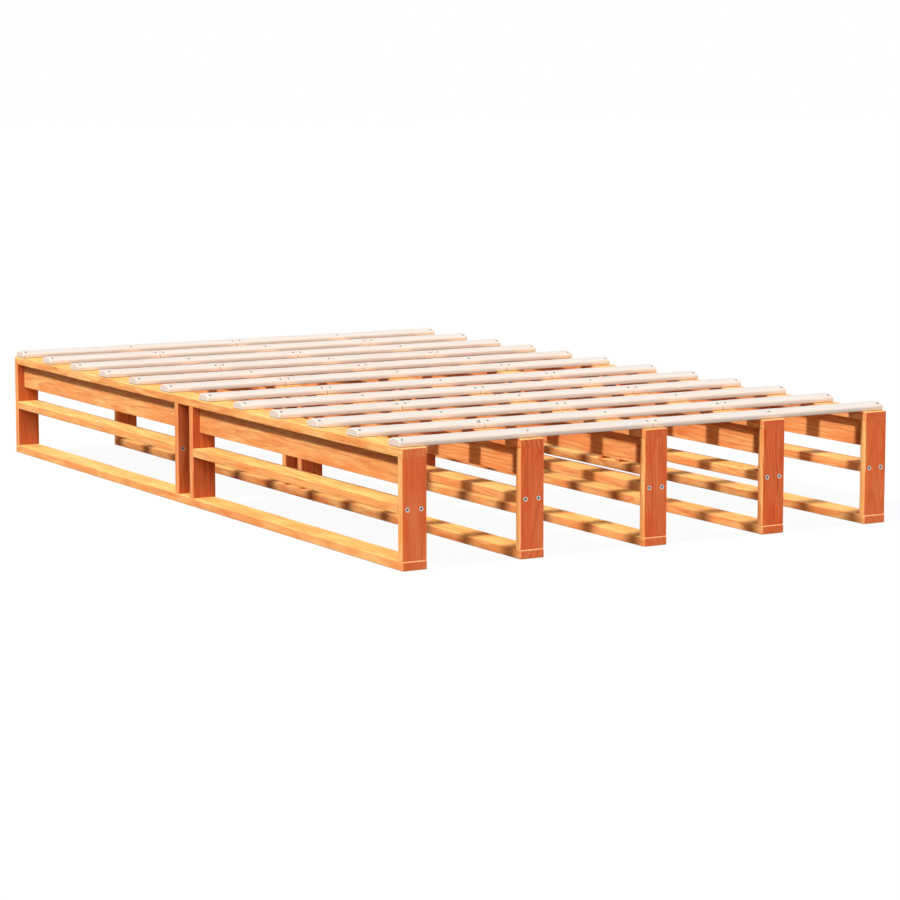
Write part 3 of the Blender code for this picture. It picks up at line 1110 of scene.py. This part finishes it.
def floor_material():
    """Nearly white where it is seen, with a little of its shading left for the bed's shadow. Dark where light
    bounces off it on to the bed."""
    made = bpy.data.materials.new("pale_floor")
    made.use_nodes = True
    tree = made.node_tree
    tree.nodes.clear()
    seen = ray_share(tree)
    colour = mix_colour(tree, seen, FLOOR_BOUNCE_COLOUR, FLOOR_COLOUR)
    matt = add(tree, "ShaderNodeBsdfDiffuse", {"Color": colour}).outputs[0]
    white = add(tree, "ShaderNodeEmission", {"Color": WHITE, "Strength": 1.0}).outputs[0]
    share = times(tree, seen, FLOOR_WHITE_SHARE)
    mixed = add(tree, "ShaderNodeMixShader", {0: share, 1: matt, 2: white}).outputs[0]
    add(tree, "ShaderNodeOutputMaterial", {"Surface": mixed})
    return made


def make_floor():
    shape = bmesh.new()
    bmesh.ops.create_grid(shape, x_segments=1, y_segments=1, size=FLOOR_SIZE / 2)
    floor = new_object("floor", shape)
    floor.location.z = -FLOOR_DROP
    floor.data.materials.append(floor_material())


def make_room():
    """A white room to the rays that see it, and a dim warm one as a light."""
    world = bpy.data.worlds.new("room")
    bpy.context.scene.world = world
    world.use_nodes = True
    tree = world.node_tree
    tree.nodes.clear()
    seen = ray_share(tree)
    strength = math_node(tree, "MULTIPLY_ADD", seen, 1 - ROOM_STRENGTH, ROOM_STRENGTH)
    colour = mix_colour(tree, seen, (*ROOM_COLOUR, 1), WHITE)
    sky = add(tree, "ShaderNodeBackground", {"Color": colour, "Strength": strength}).outputs[0]
    add(tree, "ShaderNodeOutputWorld", {"Surface": sky})


def make_lamp(name, direction, strength, angle, colour=(1, 1, 1)):
    lamp = bpy.data.lights.new(name, "SUN")
    lamp.energy = strength
    lamp.angle = angle
    lamp.color = colour
    made = bpy.data.objects.new(name, lamp)
    made.rotation_euler = Vector(direction).to_track_quat("-Z", "Y").to_euler()
    bpy.context.scene.collection.objects.link(made)


def make_camera():
    camera = bpy.data.cameras.new("camera")
    camera.sensor_width = SENSOR_MM
    camera.lens = FOCAL_PIXELS * SENSOR_MM / FRAME_PIXELS
    made = bpy.data.objects.new("camera", camera)
    made.location = CAMERA_PLACE
    made.rotation_euler = (math.pi / 2 - CAMERA_PITCH, 0, -CAMERA_YAW)
    bpy.context.scene.collection.objects.link(made)
    bpy.context.scene.camera = made


def make_stage():
    bpy.context.scene.view_settings.view_transform = "Standard"
    make_camera()
    make_floor()
    make_room()
    make_lamp("key", KEY_DIRECTION, KEY_STRENGTH, KEY_ANGLE, KEY_COLOUR)
    make_lamp("foot_fill", FOOT_DIRECTION, FOOT_STRENGTH, FOOT_ANGLE, FOOT_COLOUR)
    for direction, name in zip(FAR_DIRECTIONS, ("head_fill", "right_fill")):
        make_lamp(name, direction, FAR_STRENGTH, FAR_ANGLE)


def make_bed():
    stained = wood_material("stained_pine", STAINED)
    pale = wood_material("pale_slat_wood", PALE)
    bright = steel_material("bright_steel", BRIGHT_STEEL)
    dark = steel_material("dark_steel", DARK_STEEL)
    frame_mesh = frame_screw_mesh(bright)
    for number in FRAMES:
        make_frame(number, stained, frame_mesh)
    slat_mesh = slat_screw_mesh(dark)
    for name, start, end, node in slat_pieces():
        make_slat(name, start, end, node, pale, slat_mesh)


make_stage()
make_bed()
